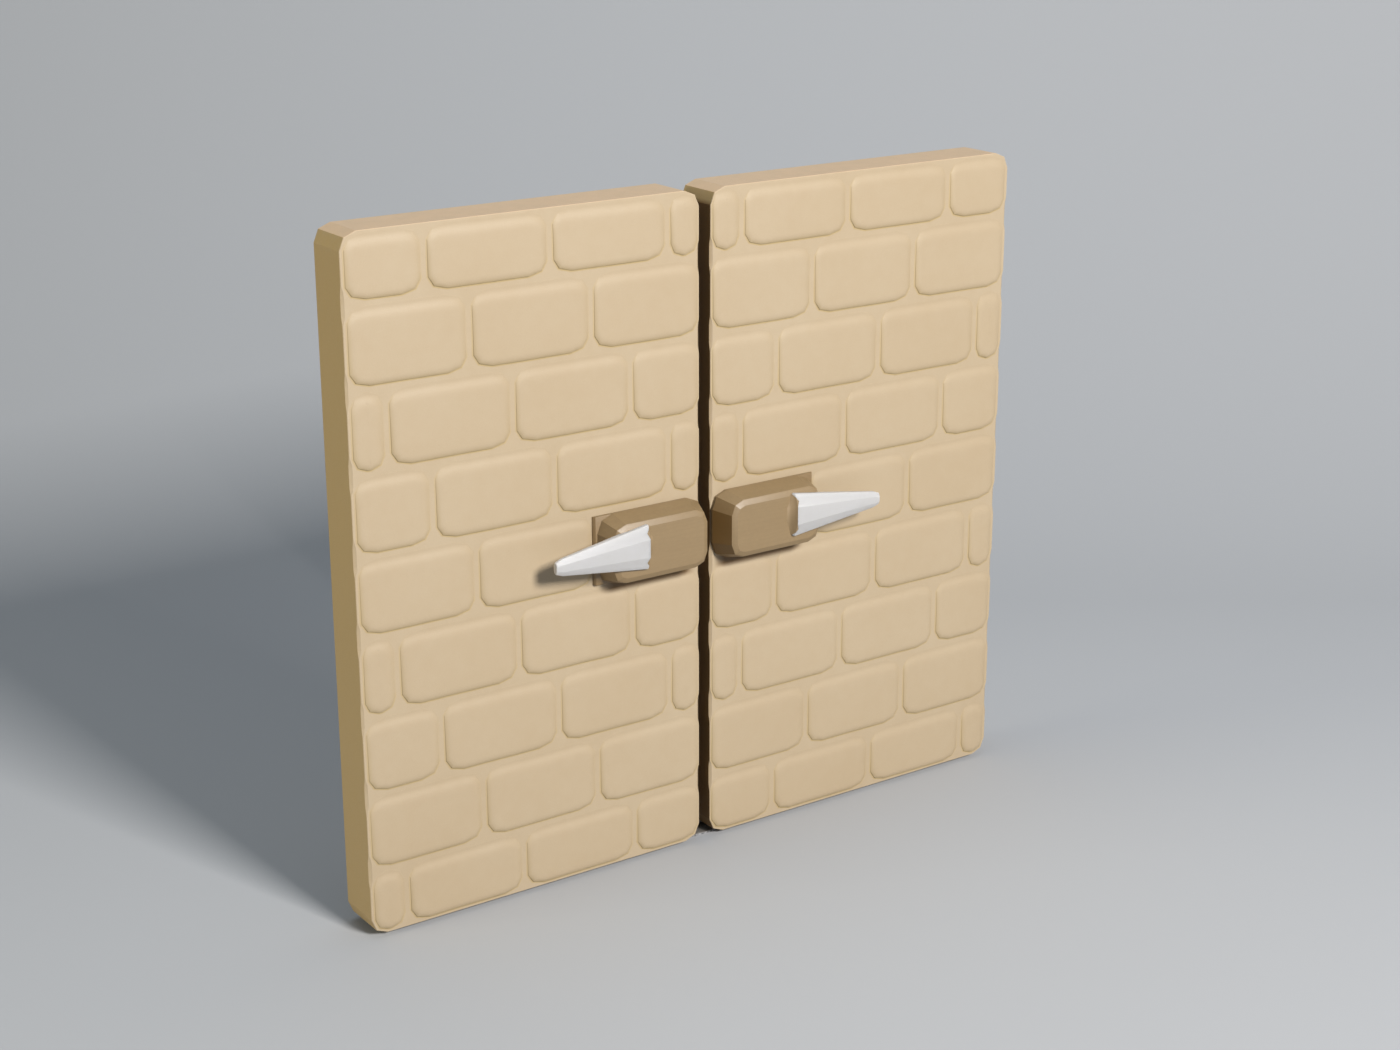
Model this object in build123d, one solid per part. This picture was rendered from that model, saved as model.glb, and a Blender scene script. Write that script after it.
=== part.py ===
from build123d import *
from math import pi, tan
import os

# Stone double door: two thick leaves with raised brick relief turn on floor pivots at their outer
# ends and open towards the front. Each leaf has a block with a tusk as its pull.
# X runs along the door, the front faces -Y, Z is up. The origin is on the ground under the middle
# of the threshold strip. Every piece of the right leaf is drawn at its distance from the middle of
# the gap, and the left one is its mirror image. "Depth" is measured towards the front, along -Y.

# Leaves
LEAF_WIDTH = 1173
LEAF_HEIGHT = 2100
LEAF_THICKNESS = 156  # without the relief
LEAF_GAP = 41
LEAF_CORNER = 52
LEAF_CLEARANCE = 12  # from the ground to the underside of the leaves

# Raised blocks
COURSES = 9
COURSE_PITCH = 241.7
BLOCK_PITCH = 403
JOINT_WIDTH = 22
RELIEF = 10.5
RELIEF_SLOPE = 16  # run of a block's sloped sides
BLOCK_CORNER_X = 60
BLOCK_CORNER_Z = 38
RIM_INNER = 7  # bare margin of the slab beside the gap
RIM_OUTER = 12
RIM_ENDS = 11  # bare margin at the top and bottom
COURSE_OFFSET = 3  # the middle course sits this much above the leaf's middle

# Pulls. A ring of the block: inset of its inner end and of its outer end, half of its height, the
# share of the full corner cut, and its depth in front of the slab.
PULL_COURSE = 5
PULL_LENGTH = 378
PULL_CORNER_X = 54
PULL_CORNER_Z = 56
PULL_FOOT = (0, 0, 110, 1.0, 12)
PULL_SHOULDER = (25.5, 14, 92, 0.8, 84)
PULL_FACE = (42.5, 31, 75, 0.5, 89)
PAD_LENGTH = 390
PAD_HEIGHT = 216
PAD_THICKNESS = 12
PAD_EDGE_RUN = 9  # slope at the pad's outer end
PAD_EDGE_DEPTH = 6

# Tusks. A ring: distance from the middle of the gap, depth of its middle in front of the slab,
# height of its middle above the block's, half of its height, half of its depth.
TUSK_COLLAR = (258, 80, 14, 62, 9)
TUSK_ROOT = (275, 89, 14, 69, 25)
TUSK_SHOULDER = (580, 103, 12, 26, 13)
TUSK_TIP = (602, 104, 12, 18, 9)
ROOT_SPIKE = (266, 69)  # distance from the gap and height above the tusk's middle of each
ROOT_NOTCH = (283, 46)  # point of the cut at the tusk's root
ROOT_FACET = (275, 29)

# Pivots and threshold
PIVOT_INSET = 110  # from a leaf's outer edge to its pivot
PIN_RADIUS = 15
PIN_LENGTH = 61  # above the strip
PIN_CHAMFER = 3
RUNNING_CLEARANCE = 0.05  # radial
SHOE_LENGTH = 180
SHOE_WIDTH = 80
SHOE_THICKNESS = 12
SHOE_INNER_REACH = 130  # from the pivot towards the gap
BOSS_RADIUS = 32
BOSS_HEIGHT = 72
BORE_DEPTH = 60
WASHER_RADIUS = 32
WASHER_BORE = 15.5
STRIP_LENGTH = 2270
STRIP_WIDTH = 90
STRIP_THICKNESS = 6
ANCHOR_RADIUS = 6
ANCHOR_SPACING_X = 70
ANCHOR_SPACING_Y = 60
MIDDLE_ANCHOR_SPACING = 700

INNER_EDGE = LEAF_GAP / 2
OUTER_EDGE = INNER_EDGE + LEAF_WIDTH
LEAF_BOTTOM = LEAF_CLEARANCE
LEAF_TOP = LEAF_BOTTOM + LEAF_HEIGHT
FRONT = LEAF_THICKNESS / 2  # depth of the slab's front face
PIVOT = OUTER_EDGE - PIVOT_INSET
MIDDLE_COURSE = LEAF_BOTTOM + LEAF_HEIGHT / 2 + COURSE_OFFSET
PULL_LEVEL = LEAF_BOTTOM + LEAF_HEIGHT / 2
CORNER_STEP = 0.29  # of a corner's run, where its two steps meet
HALF_FLAT = tan(pi / 8)  # half a flat of an octagon whose flats are 1 from its middle
OCTAGON = [(1, HALF_FLAT), (HALF_FLAT, 1), (-HALF_FLAT, 1), (-1, HALF_FLAT)]
OCTAGON += [(y, -z) for y, z in OCTAGON]


def at_depth(depth):
    """Upright plane that faces the front, at a depth from the middle of the leaves."""
    return Plane.XZ.offset(depth)


def stepped_points(low_x, high_x, low_z, high_z, corner_x, corner_z):
    """Corners of a rectangle that turns each corner in two straight steps."""
    corner_x = min(corner_x, 0.45 * (high_x - low_x))
    corner_z = min(corner_z, 0.45 * (high_z - low_z))
    middle_x = (low_x + high_x) / 2
    middle_z = (low_z + high_z) / 2
    half_x = (high_x - low_x) / 2
    half_z = (high_z - low_z) / 2
    quarter = [
        (half_x, half_z - corner_z),
        (half_x - CORNER_STEP * corner_x, half_z - CORNER_STEP * corner_z),
        (half_x - corner_x, half_z),
    ]
    points = []
    for sign_x, sign_z in ((1, 1), (-1, 1), (-1, -1), (1, -1)):
        turn = quarter if sign_x == sign_z else quarter[::-1]
        points += [(middle_x + sign_x * x, middle_z + sign_z * z) for x, z in turn]
    return points


def inset_points(points, distance):
    """An outline moved inwards by a distance, edge by edge."""
    corners = [Vector(*point) for point in points]
    moved = []
    for i, corner in enumerate(corners):
        before = (corner - corners[i - 1]).normalized()
        after = (corners[(i + 1) % len(corners)] - corner).normalized()
        inward = Vector(-before.Y - after.Y, before.X + after.X)
        shifted = corner + inward * (distance / (1 + before.dot(after)))
        moved.append((shifted.X, shifted.Y))
    return moved


def course_spans(course):
    """Low and high distance from the gap of each block in a course, counted from the top."""
    shift = ((2 * course - 1) % 3) / 3
    joints = [BLOCK_PITCH * (shift + n) for n in range(4)]
    low_limit = INNER_EDGE + RIM_INNER
    high_limit = OUTER_EDGE - RIM_OUTER
    joints = [x for x in joints if low_limit + JOINT_WIDTH < x < high_limit - JOINT_WIDTH]
    lows = [low_limit] + [x + JOINT_WIDTH / 2 for x in joints]
    highs = [x - JOINT_WIDTH / 2 for x in joints] + [high_limit]
    return list(zip(lows, highs))


def course_levels(course):
    """Underside and top of a course's blocks."""
    middle = MIDDLE_COURSE + COURSE_PITCH * ((COURSES + 1) / 2 - course)
    half = (COURSE_PITCH - JOINT_WIDTH) / 2
    return max(middle - half, LEAF_BOTTOM + RIM_ENDS), min(middle + half, LEAF_TOP - RIM_ENDS)


def raised_block(low_x, high_x, low_z, high_z, side):
    """One block of the relief, on the front (side 1) or the back (side -1) of the slab."""
    foot = stepped_points(low_x, high_x, low_z, high_z, BLOCK_CORNER_X, BLOCK_CORNER_Z)
    crown = inset_points(foot, RELIEF_SLOPE)
    corners = [(x, -side * FRONT, z) for x, z in foot]
    corners += [(x, -side * (FRONT + RELIEF), z) for x, z in crown]
    return ConvexPolyhedron(corners)


def course(number, side):
    """All blocks of one course. On the front, the pull takes the place of one block."""
    low_z, high_z = course_levels(number)
    spans = course_spans(number)
    if side == 1 and number == PULL_COURSE:
        spans = spans[1:]
    return [raised_block(low_x, high_x, low_z, high_z, side) for low_x, high_x in spans]


def pivot_shoe_body():
    """Outer form of the shoe: a plate let into the leaf's underside, with a boss round the bore."""
    plate_middle = PIVOT - SHOE_INNER_REACH + SHOE_LENGTH / 2
    plate = Pos(plate_middle, 0, LEAF_BOTTOM) * Box(
        SHOE_LENGTH, SHOE_WIDTH, SHOE_THICKNESS, align=(Align.CENTER, Align.CENTER, Align.MIN)
    )
    boss = Pos(PIVOT, 0, LEAF_BOTTOM) * Cylinder(
        BOSS_RADIUS, BOSS_HEIGHT, align=(Align.CENTER, Align.CENTER, Align.MIN)
    )
    return plate + boss


def pivot_shoe():
    bore = Pos(PIVOT, 0, LEAF_BOTTOM) * Cylinder(
        PIN_RADIUS + RUNNING_CLEARANCE, BORE_DEPTH, align=(Align.CENTER, Align.CENTER, Align.MIN)
    )
    return pivot_shoe_body() - bore


def leaf_slab():
    outline = Polygon(
        *stepped_points(INNER_EDGE, OUTER_EDGE, LEAF_BOTTOM, LEAF_TOP, LEAF_CORNER, LEAF_CORNER),
        align=None,
    )
    slab = extrude(at_depth(-FRONT) * outline, amount=LEAF_THICKNESS)
    return slab - pivot_shoe_body()


def pull_ring(inner_inset, outer_inset, half_height, corner_share, depth):
    """Outline of the pull block at a depth in front of the slab."""
    points = stepped_points(
        INNER_EDGE + inner_inset,
        INNER_EDGE + PULL_LENGTH - outer_inset,
        PULL_LEVEL - half_height,
        PULL_LEVEL + half_height,
        corner_share * PULL_CORNER_X,
        corner_share * PULL_CORNER_Z,
    )
    return [(x, -(FRONT + depth), z) for x, z in points]


def tusk_ring(distance, depth, rise, half_height, half_depth):
    """Eight corners of a tusk's section, with a flat to the front."""
    return [
        (distance, -(FRONT + depth + y * half_depth), PULL_LEVEL + rise + z * half_height)
        for y, z in OCTAGON
    ]


def tusk_form():
    """The whole taper, from the collar in the block to the tip."""
    rings = [tusk_ring(*ring) for ring in (TUSK_COLLAR, TUSK_ROOT, TUSK_SHOULDER, TUSK_TIP)]
    collar = ConvexPolyhedron(rings[0] + rings[1])
    return collar + ConvexPolyhedron(rings[1] + rings[2] + rings[3])


def root_side():
    """Everything on the gap's side of the zigzag cut at the tusk's root."""
    middle = PULL_LEVEL + TUSK_ROOT[2]
    cut = [ROOT_SPIKE, ROOT_NOTCH, ROOT_FACET]
    upper = [(x, middle + z) for x, z in cut]
    lower = [(x, middle - z) for x, z in reversed(cut)]
    ends = [(INNER_EDGE, lower[-1][1]), (INNER_EDGE, upper[0][1])]
    outline = Polygon(*reversed(upper + lower + ends), align=None)
    return extrude(at_depth(FRONT) * outline, amount=2 * PULL_FACE[4])


def tusk():
    return tusk_form() - root_side()


def pull_pad():
    """Thin layer under the block, square at its outer end, with a sloped edge there."""
    points = stepped_points(
        INNER_EDGE,
        INNER_EDGE + 2 * PAD_LENGTH,
        PULL_LEVEL - PAD_HEIGHT / 2,
        PULL_LEVEL + PAD_HEIGHT / 2,
        PULL_CORNER_X,
        PULL_CORNER_Z,
    )
    high_x = INNER_EDGE + PAD_LENGTH
    inner_half = [point for point in points if point[0] < high_x]
    top_corner = (high_x, PULL_LEVEL + PAD_HEIGHT / 2)
    bottom_corner = (high_x, PULL_LEVEL - PAD_HEIGHT / 2)
    outline = Polygon(top_corner, *inner_half, bottom_corner, align=None)
    pad = extrude(at_depth(FRONT) * outline, amount=PAD_THICKNESS)
    front_face = pad.faces().sort_by(Axis.Y)[0]
    outer_edge = front_face.edges().sort_by(Axis.X)[-1]
    return chamfer(outer_edge, PAD_EDGE_DEPTH, PAD_EDGE_RUN, reference=front_face)


def pull_block():
    """Block with leaning sides, a shallow bevel round its front and a collar round the tusk's root."""
    shoulder = pull_ring(*PULL_SHOULDER)
    body = ConvexPolyhedron(pull_ring(*PULL_FOOT) + shoulder)
    body += ConvexPolyhedron(shoulder + pull_ring(*PULL_FACE))
    return body + tusk_form() - tusk()


def threshold_strip():
    strip = Box(
        STRIP_LENGTH, STRIP_WIDTH, STRIP_THICKNESS, align=(Align.CENTER, Align.CENTER, Align.MIN)
    )
    hole = Cylinder(ANCHOR_RADIUS, 4 * STRIP_THICKNESS)
    for pivot in (-PIVOT, PIVOT):
        strip -= Pos(pivot, 0, 0) * GridLocations(ANCHOR_SPACING_X, ANCHOR_SPACING_Y, 2, 2) * hole
    return strip - GridLocations(MIDDLE_ANCHOR_SPACING, 0, 2, 1) * hole


def pivot_pin():
    pin = Pos(PIVOT, 0, STRIP_THICKNESS) * Cylinder(
        PIN_RADIUS, PIN_LENGTH, align=(Align.CENTER, Align.CENTER, Align.MIN)
    )
    return chamfer(pin.edges().group_by(Axis.Z)[-1], PIN_CHAMFER)


def thrust_washer():
    height = LEAF_CLEARANCE - STRIP_THICKNESS
    ring = Cylinder(WASHER_RADIUS, height) - Cylinder(WASHER_BORE, height)
    return Pos(PIVOT, 0, STRIP_THICKNESS + height / 2) * ring


def write(name, solids):
    """Writes one node from one solid or a list of solids that don't touch."""
    pieces = solids if isinstance(solids, list) else [solids]
    pieces = [solid for piece in pieces for solid in piece.solids()]
    shape = pieces[0] if len(pieces) == 1 else Compound(children=pieces)
    export_step(shape, f"parts/{name}.step")


def write_pair(name, solids):
    """Writes the right-hand node as drawn and the left-hand one as its mirror image."""
    pieces = solids if isinstance(solids, list) else [solids]
    write(f"right_{name}", [piece.moved(Location()) for piece in pieces])
    write(f"left_{name}", [mirror(piece, about=Plane.YZ) for piece in pieces])


os.makedirs("parts", exist_ok=True)
write("threshold_strip", threshold_strip())
write_pair("pivot_pin", pivot_pin())
write_pair("thrust_washer", thrust_washer())
write_pair("pivot_shoe", pivot_shoe())
write_pair("leaf_slab", leaf_slab())
for number in range(1, COURSES + 1):
    write_pair(f"front_course_{number}", course(number, 1))
for band, numbers in (("upper", (1, 2, 3)), ("middle", (4, 5, 6)), ("lower", (7, 8, 9))):
    write_pair(f"back_{band}_courses", [block for number in numbers for block in course(number, -1)])
write_pair("pull_pad", pull_pad())
write_pair("pull_block", pull_block())
write_pair("tusk", tusk())
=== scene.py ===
"""Stone double door: thick leaves with cushioned blocks, tusk pulls, floor pivots, and a plain studio."""

import math

import bmesh
import bpy
from bpy.props import FloatProperty, FloatVectorProperty, IntProperty, PointerProperty
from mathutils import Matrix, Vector, noise


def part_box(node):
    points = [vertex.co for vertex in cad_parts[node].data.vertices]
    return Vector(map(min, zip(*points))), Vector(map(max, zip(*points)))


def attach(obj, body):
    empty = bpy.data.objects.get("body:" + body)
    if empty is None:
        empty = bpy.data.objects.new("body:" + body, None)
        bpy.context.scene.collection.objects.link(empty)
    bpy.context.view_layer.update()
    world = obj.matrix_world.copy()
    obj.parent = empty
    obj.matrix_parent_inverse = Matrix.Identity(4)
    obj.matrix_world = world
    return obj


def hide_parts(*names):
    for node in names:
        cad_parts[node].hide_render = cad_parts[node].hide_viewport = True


bl_info = {
    "name": "Stone Double Door",
    "version": (1, 0, 0),
    "blender": (4, 5, 0),
    "location": "3D View > Sidebar > Stone Door",
    "description": "Dresses the leaves, pulls and pivots of a stone double door",
    "category": "Object",
}

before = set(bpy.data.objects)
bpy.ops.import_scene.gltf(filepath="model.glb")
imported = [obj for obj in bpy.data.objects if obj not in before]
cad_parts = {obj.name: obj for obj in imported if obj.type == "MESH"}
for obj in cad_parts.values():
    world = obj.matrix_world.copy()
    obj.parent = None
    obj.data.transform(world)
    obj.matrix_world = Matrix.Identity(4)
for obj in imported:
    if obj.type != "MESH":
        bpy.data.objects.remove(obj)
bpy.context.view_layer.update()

SIDES = ("left", "right")
FACES = {"front": -1, "back": 1}  # sign of the outward Y of each face of a leaf
CORNER_STEP = 0.29  # share of a corner's run where its two steps meet
LEAF_CORNER = 0.052
BLOCK_CORNER = (0.060, 0.038)
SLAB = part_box("right_leaf_slab")
SLAB_FRONT = SLAB[0][1]
SLAB_BACK = SLAB[1][1]
RELIEF = SLAB_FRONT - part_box("right_front_course_5")[0][1]
PULL_LEVEL = 1.062
TONE = {"size": 3, "min": 0.0, "max": 1.0, "subtype": "COLOR"}  # options of every colour below


class StoneDoorRelief(bpy.types.PropertyGroup):
    cushion_run: FloatProperty(
        name="Cushion Run", default=0.029, min=0.005, unit="LENGTH",
        description="Distance over which a block rises from its foot to its crown",
    )
    cushion_power: FloatProperty(
        name="Cushion Fullness", default=2.1, min=1.0, max=6.0,
        description="How steeply a block rises at its foot before it rounds over",
    )
    top_run: FloatProperty(
        name="Top Run", default=0.036, min=0.005, unit="LENGTH",
        description="Distance over which a block runs out below its upper edge",
    )
    foot_share: FloatProperty(
        name="Foot Share", default=0.30, min=0.0, max=0.9, subtype="FACTOR",
        description="Share of the relief taken by the steep foot of a block",
    )
    crown_share: FloatProperty(
        name="Crown Share", default=0.93, min=0.5, max=1.0, subtype="FACTOR",
        description="Share of the relief reached where the cushion meets the gentle crown",
    )
    unevenness: FloatProperty(
        name="Unevenness", default=0.0012, min=0.0, unit="LENGTH",
        description="How far the blocks' outlines wander from straight lines",
    )
    arris: FloatProperty(
        name="Arris", default=0.0016, min=0.0005, unit="LENGTH",
        description="Width of the eased edge round each face of a leaf",
    )
    nick_width: FloatProperty(
        name="Joint Nick Width", default=0.009, min=0.0, unit="LENGTH",
        description="How far the worn nick beside each bed joint cuts into the face",
    )
    nick_height: FloatProperty(
        name="Joint Nick Height", default=0.110, min=0.01, unit="LENGTH",
        description="Height of the worn nick beside each bed joint",
    )


class StoneDoorStone(bpy.types.PropertyGroup):
    light_tone: FloatVectorProperty(
        name="Light Tone", default=(0.385, 0.304, 0.201), **TONE,
        description="Lighter colour of the stone",
    )
    dark_tone: FloatVectorProperty(
        name="Dark Tone", default=(0.351, 0.264, 0.161), **TONE,
        description="Darker colour of the stone's mottling",
    )
    # Painted shade: a more saturated tone on the leaves' ends, standing for how the ends look in shade.
    end_shade_tone: FloatVectorProperty(
        name="End Tone", default=(0.490, 0.340, 0.142), **TONE,
        description="Colour of the tooled ends of the leaves",
    )
    # Painted shade: the dark tone on the leaves' ends at the gap stands for the shade inside the narrow
    # gap.
    gap_shade_tone: FloatVectorProperty(
        name="Gap Tone", default=(0.195, 0.106, 0.030), **TONE,
        description="Colour of the ends that meet at the gap, darkened by dirt",
    )
    # Painted shade: this tone along the blocks' feet stands for the shade in their creases; the grain also
    # borrows it.
    foot_shade_tone: FloatVectorProperty(
        name="Joint Tone", default=(0.385, 0.285, 0.130), **TONE,
        description="Colour that has gathered along the feet of the blocks",
    )
    # Painted shadow: the dark band just below each pull stands for the pull's cast shadow.
    pull_shadow_tone: FloatVectorProperty(
        name="Grime", default=(0.110, 0.047, 0.001), **TONE,
        description="Colour of the grime on the stone just below the pulls",
    )
    grain: FloatProperty(
        name="Grain Size", default=0.0022, min=0.0002, unit="LENGTH",
        description="Size of one grain of the stone",
    )
    roughness: FloatProperty(
        name="Roughness", default=0.55, min=0.0, max=1.0, subtype="FACTOR",
        description="How matt the stone is",
    )


class StoneDoorPulls(bpy.types.PropertyGroup):
    # Painted shade: the dark tone on the pull blocks' ends beside the gap and on their downward sides.
    block_shade_tone: FloatVectorProperty(
        name="Gap Tone", default=(0.14, 0.075, 0.018), **TONE,
        description="Colour of the pull blocks' ends beside the gap",
    )
    light_wood: FloatVectorProperty(
        name="Light Wood", default=(0.211, 0.143, 0.066), **TONE,
        description="Lighter colour of the pull blocks",
    )
    dark_wood: FloatVectorProperty(
        name="Dark Wood", default=(0.191, 0.127, 0.058), **TONE,
        description="Colour of the late rings in the pull blocks",
    )
    # Painted light: the pale tone round the tusks' roots stands for light and a highlight on faces turned
    # from the lamp.
    root_light_tone: FloatVectorProperty(
        name="Handled Wood", default=(0.260, 0.180, 0.094), **TONE,
        description="Colour of the wood rubbed pale by hands beside the tusks' roots",
    )
    bone: FloatVectorProperty(
        name="Bone", default=(0.412, 0.409, 0.410), **TONE,
        description="Colour of the tusks",
    )
    aged_bone: FloatVectorProperty(
        name="Aged Bone", default=(0.375, 0.360, 0.325), **TONE,
        description="Colour of the tusks' stains and hairlines",
    )
    tusk_arris: FloatProperty(
        name="Tusk Arris", default=0.0050, min=0.0002, unit="LENGTH",
        description="Width of the eased ridges of the tusks",
    )


class StoneDoorPivots(bpy.types.PropertyGroup):
    steel: FloatVectorProperty(
        name="Steel", default=(0.42, 0.42, 0.43), **TONE,
        description="Colour of the turned pins and shoes",
    )
    bronze: FloatVectorProperty(
        name="Bronze", default=(0.52, 0.33, 0.15), **TONE,
        description="Colour of the thrust washers",
    )
    paint: FloatVectorProperty(
        name="Threshold Paint", default=(0.060, 0.056, 0.052), **TONE,
        description="Colour of the painted threshold strip",
    )


class StoneDoorStudio(bpy.types.PropertyGroup):
    backdrop: FloatVectorProperty(
        name="Backdrop", default=(0.368, 0.375, 0.383), **TONE,
        description="Colour of the floor and the sweep behind it",
    )
    key_power: FloatProperty(
        name="Key Power", default=3745.0, min=0.0, unit="POWER",
        description="Power of the large lamp in front of the door",
    )
    key_size: FloatProperty(
        name="Key Size", default=3.36, min=0.1, unit="LENGTH",
        description="Width of the large lamp",
    )
    side_power: FloatProperty(
        name="Side Power", default=310.0, min=0.0, unit="POWER",
        description="Power of the wide, weak lamp beside the door",
    )
    top_power: FloatProperty(
        name="Top Power", default=200.0, min=0.0, unit="POWER",
        description="Power of the wide lamp above the door",
    )
    fill: FloatProperty(
        name="Fill", default=0.14, min=0.0,
        description="Strength of the even light from all round",
    )
    lens: FloatProperty(
        name="Lens", default=59.64, min=10.0,
        description="Focal length of the camera in millimetres",
    )
    sweep_segments: IntProperty(
        name="Sweep Segments", default=24, min=4,
        description="Number of steps in the curve between the floor and the backdrop",
    )


def add_node(tree, kind, inputs=None, **settings):
    """Adds a node, sets its options, and sets or links each named input."""
    node = tree.nodes.new(kind)
    for key, value in settings.items():
        setattr(node, key, value)
    for key, value in (inputs or {}).items():
        if isinstance(value, bpy.types.NodeSocket):
            tree.links.new(value, node.inputs[key])
        else:
            node.inputs[key].default_value = value
    return node


def colour(value, share=1.0):
    """A colour for a socket, lightened or darkened by a share."""
    return (*(min(1.0, share * v) for v in value), 1.0)


def math_node(tree, operation, first, second=0.5, clamp=False):
    inputs = {0: first, 1: second}
    return add_node(tree, "ShaderNodeMath", inputs, operation=operation, use_clamp=clamp).outputs[0]


def times(tree, first, second, clamp=False):
    return math_node(tree, "MULTIPLY", first, second, clamp)


def mix_colour(tree, factor, first, second):
    node = add_node(tree, "ShaderNodeMix", {"Factor": factor}, data_type="RGBA")
    for socket, value in ((node.inputs[6], first), (node.inputs[7], second)):
        if isinstance(value, bpy.types.NodeSocket):
            tree.links.new(value, socket)
        else:
            socket.default_value = value
    return node.outputs[2]


def map_range(tree, value, low, high, to_low=0.0, to_high=1.0):
    inputs = {"Value": value, "From Min": low, "From Max": high, "To Min": to_low, "To Max": to_high}
    return add_node(tree, "ShaderNodeMapRange", inputs).outputs[0]


def noise_texture(tree, vector, scale, detail, roughness=0.5):
    inputs = {"Vector": vector, "Scale": scale, "Detail": detail, "Roughness": roughness}
    return add_node(tree, "ShaderNodeTexNoise", inputs).outputs["Fac"]


def scaled(tree, vector, scale):
    return add_node(tree, "ShaderNodeMapping", {"Vector": vector, "Scale": scale}).outputs[0]


def attribute(tree, name):
    return add_node(tree, "ShaderNodeAttribute", attribute_name=name).outputs["Fac"]


def new_group(name, inputs, outputs):
    """Shader node group with a vector and other inputs; returns its tree, inputs and output node."""
    tree = bpy.data.node_groups.new(name, "ShaderNodeTree")
    kinds = {"value": "NodeSocketFloat", "colour": "NodeSocketColor", "vector": "NodeSocketVector"}
    for label, kind, default in [("Vector", "vector", (0, 0, 0))] + inputs:
        socket = tree.interface.new_socket(name=label, in_out="INPUT", socket_type=kinds[kind])
        socket.default_value = default
    for label, kind in outputs:
        tree.interface.new_socket(name=label, in_out="OUTPUT", socket_type=kinds[kind])
    return tree, tree.nodes.new("NodeGroupInput").outputs, tree.nodes.new("NodeGroupOutput")


def grain_group():
    """Fine grain: a soft noise with pits in it, as a mask and as a height."""
    tree, given, output = new_group(
        "Fine Grain",
        [("Grains Per Metre", "value", 450.0), ("Pitting", "value", 0.3)],
        [("Mask", "value"), ("Height", "value")],
    )
    fine = noise_texture(tree, given["Vector"], given["Grains Per Metre"], 3.0, 0.6)
    pit_scale = times(tree, given["Grains Per Metre"], 0.22)
    pit_inputs = {"Vector": given["Vector"], "Scale": pit_scale}
    pits = add_node(tree, "ShaderNodeTexVoronoi", pit_inputs, feature="F1").outputs["Distance"]
    pit_depth = times(tree, map_range(tree, pits, 0.05, 0.35, 1.0, 0.0), given["Pitting"])
    height = math_node(tree, "SUBTRACT", fine, pit_depth)
    tree.links.new(map_range(tree, fine, 0.3, 0.7), output.inputs["Mask"])
    tree.links.new(height, output.inputs["Height"])


def mottle_group():
    """Two scales of slow change between a light and a dark tone."""
    tree, given, output = new_group(
        "Mottling",
        [
            ("Light Tone", "colour", (1, 1, 1, 1)),
            ("Dark Tone", "colour", (0, 0, 0, 1)),
            ("Patches Per Metre", "value", 3.0),
            ("Amount", "value", 1.0),
        ],
        [("Colour", "colour")],
    )
    wide = noise_texture(tree, given["Vector"], given["Patches Per Metre"], 4.0, 0.55)
    close_scale = times(tree, given["Patches Per Metre"], 9.0)
    close = noise_texture(tree, given["Vector"], close_scale, 5.0)
    both = math_node(tree, "ADD", times(tree, wide, 0.65), times(tree, close, 0.35))
    mask = times(tree, map_range(tree, both, 0.36, 0.64), given["Amount"], clamp=True)
    toned = mix_colour(tree, mask, given["Light Tone"], given["Dark Tone"])
    tree.links.new(toned, output.inputs["Colour"])


def wear_group():
    """Mask of worn edges, broken up by a noise."""
    tree, given, output = new_group(
        "Edge Wear",
        [("Breaks Per Metre", "value", 60.0), ("Amount", "value", 0.5)],
        [("Mask", "value")],
    )
    point = add_node(tree, "ShaderNodeNewGeometry").outputs["Pointiness"]
    edge = map_range(tree, point, 0.505, 0.56)
    breaks = noise_texture(tree, given["Vector"], given["Breaks Per Metre"], 3.0)
    broken = times(tree, edge, map_range(tree, breaks, 0.35, 0.65))
    tree.links.new(times(tree, broken, given["Amount"], clamp=True), output.inputs["Mask"])


def dust_group():
    """Mask of dust on what faces up, thinned by a noise."""
    tree, given, output = new_group("Dust", [("Amount", "value", 0.3)], [("Mask", "value")])
    normal = add_node(tree, "ShaderNodeNewGeometry").outputs["Normal"]
    upward = add_node(tree, "ShaderNodeSeparateXYZ", {0: normal}).outputs["Z"]
    lying = map_range(tree, upward, 0.5, 0.85)
    thin = noise_texture(tree, given["Vector"], 24.0, 6.0)
    mask = times(tree, lying, map_range(tree, thin, 0.3, 0.7, 0.75, 1.0))
    tree.links.new(times(tree, mask, given["Amount"], clamp=True), output.inputs["Mask"])


def place_group(tree, name, *values):
    """Places a group and sets or links its inputs, in their order; returns its outputs."""
    inputs = dict(enumerate(values))
    return add_node(tree, "ShaderNodeGroup", inputs, node_tree=bpy.data.node_groups[name]).outputs


def fine_grain(tree, vector, grains, pitting):
    """The grain's mask and height, at a number of grains per metre."""
    return place_group(tree, "Fine Grain", vector, grains, pitting)


def mottled(tree, vector, light, dark, patches, amount):
    """Colour that changes slowly between two tones, at a number of patches per metre."""
    return place_group(tree, "Mottling", vector, light, dark, patches, amount)["Colour"]


def edge_worn(tree, vector, base, tone, breaks, amount):
    """The base colour, worn to a tone along the edges, with a number of breaks per metre."""
    return mix_colour(tree, place_group(tree, "Edge Wear", vector, breaks, amount)["Mask"], base, tone)


def dusted(tree, vector, base, tone, amount):
    """The base colour, with dust of a tone on what faces up."""
    return mix_colour(tree, place_group(tree, "Dust", vector, amount)["Mask"], base, colour(tone))


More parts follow.
